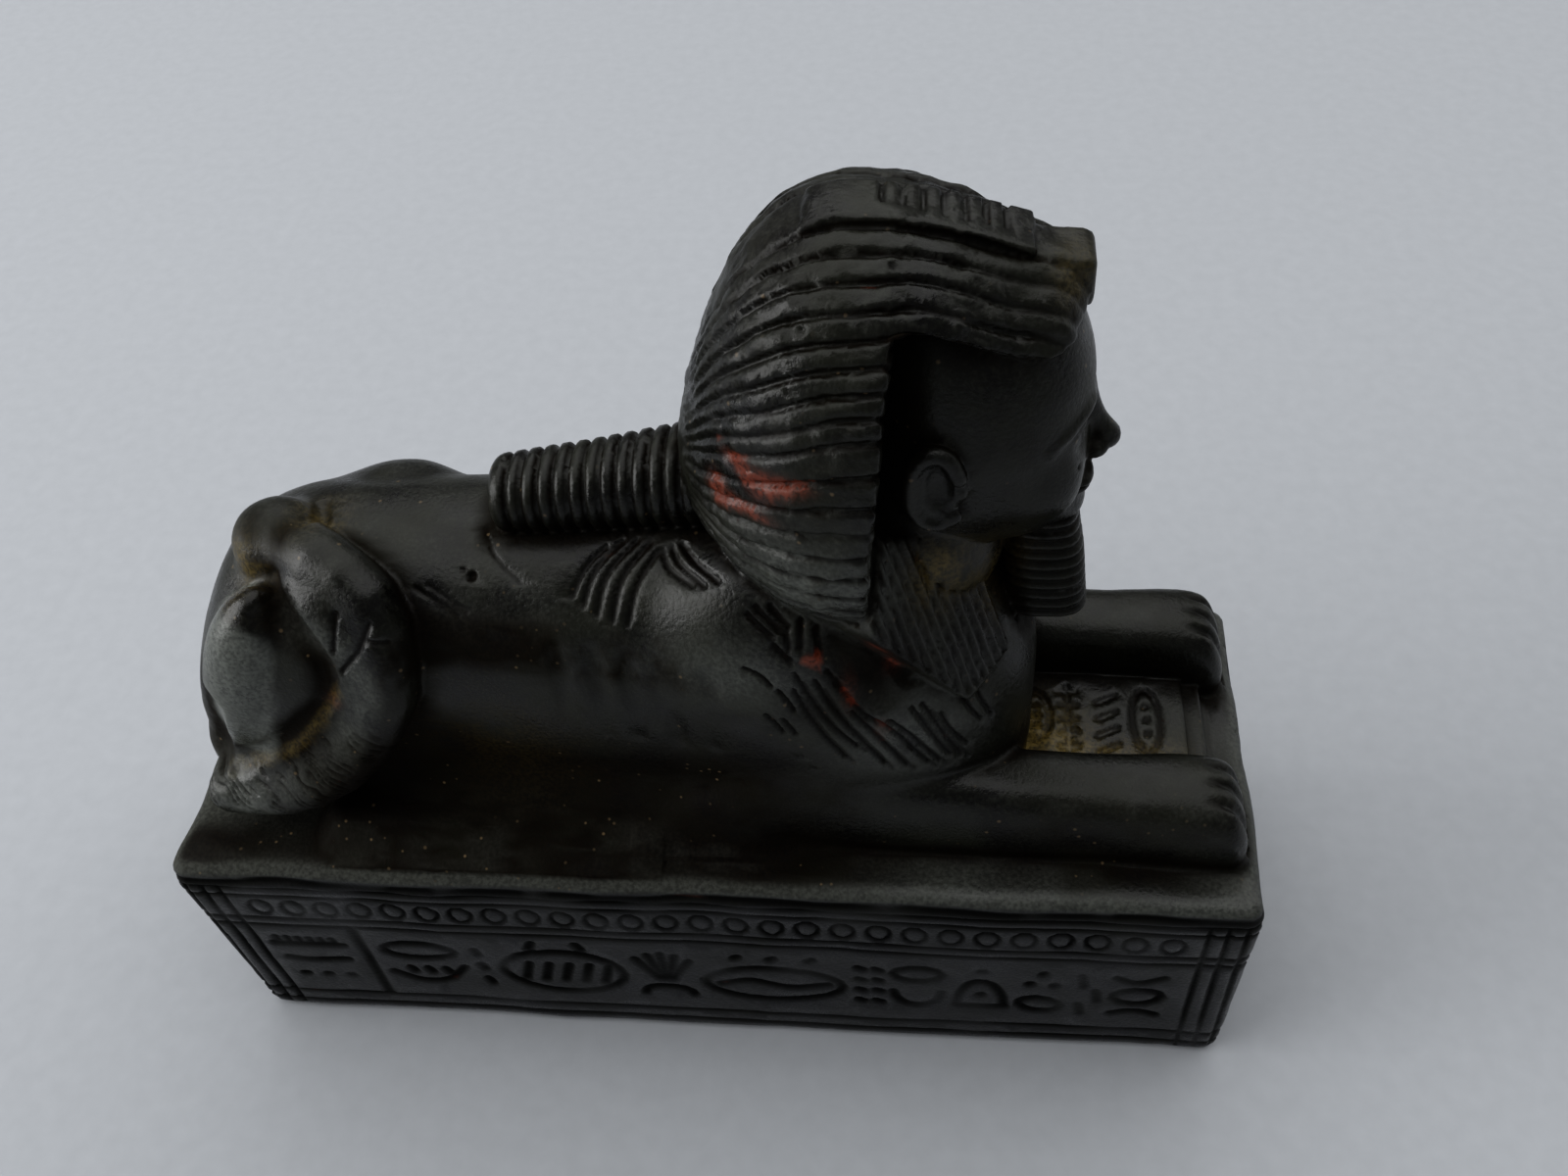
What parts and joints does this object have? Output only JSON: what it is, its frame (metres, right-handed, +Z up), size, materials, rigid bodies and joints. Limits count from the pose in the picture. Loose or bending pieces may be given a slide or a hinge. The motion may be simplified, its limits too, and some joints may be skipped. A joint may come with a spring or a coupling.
{
  "type": "sphinx statue",
  "caption": "Small carved stone sphinx lying on a tall bordered plinth, with a striped headdress, ribbed pigtail, false beard and folded tail.",
  "frame": {"origin": "middle of the plinth's underside", "axes": "+X towards the face along the plinth's length, +Y to the figure's left, +Z up"},
  "size_m": [0.141, 0.05, 0.1242],
  "materials": {
    "dark_stone": "satin, worn and soiled in the recesses"
  },
  "bodies": {
    "root": {"sphinx_on_plinth": "dark_stone"}
  },
  "joints": []
}
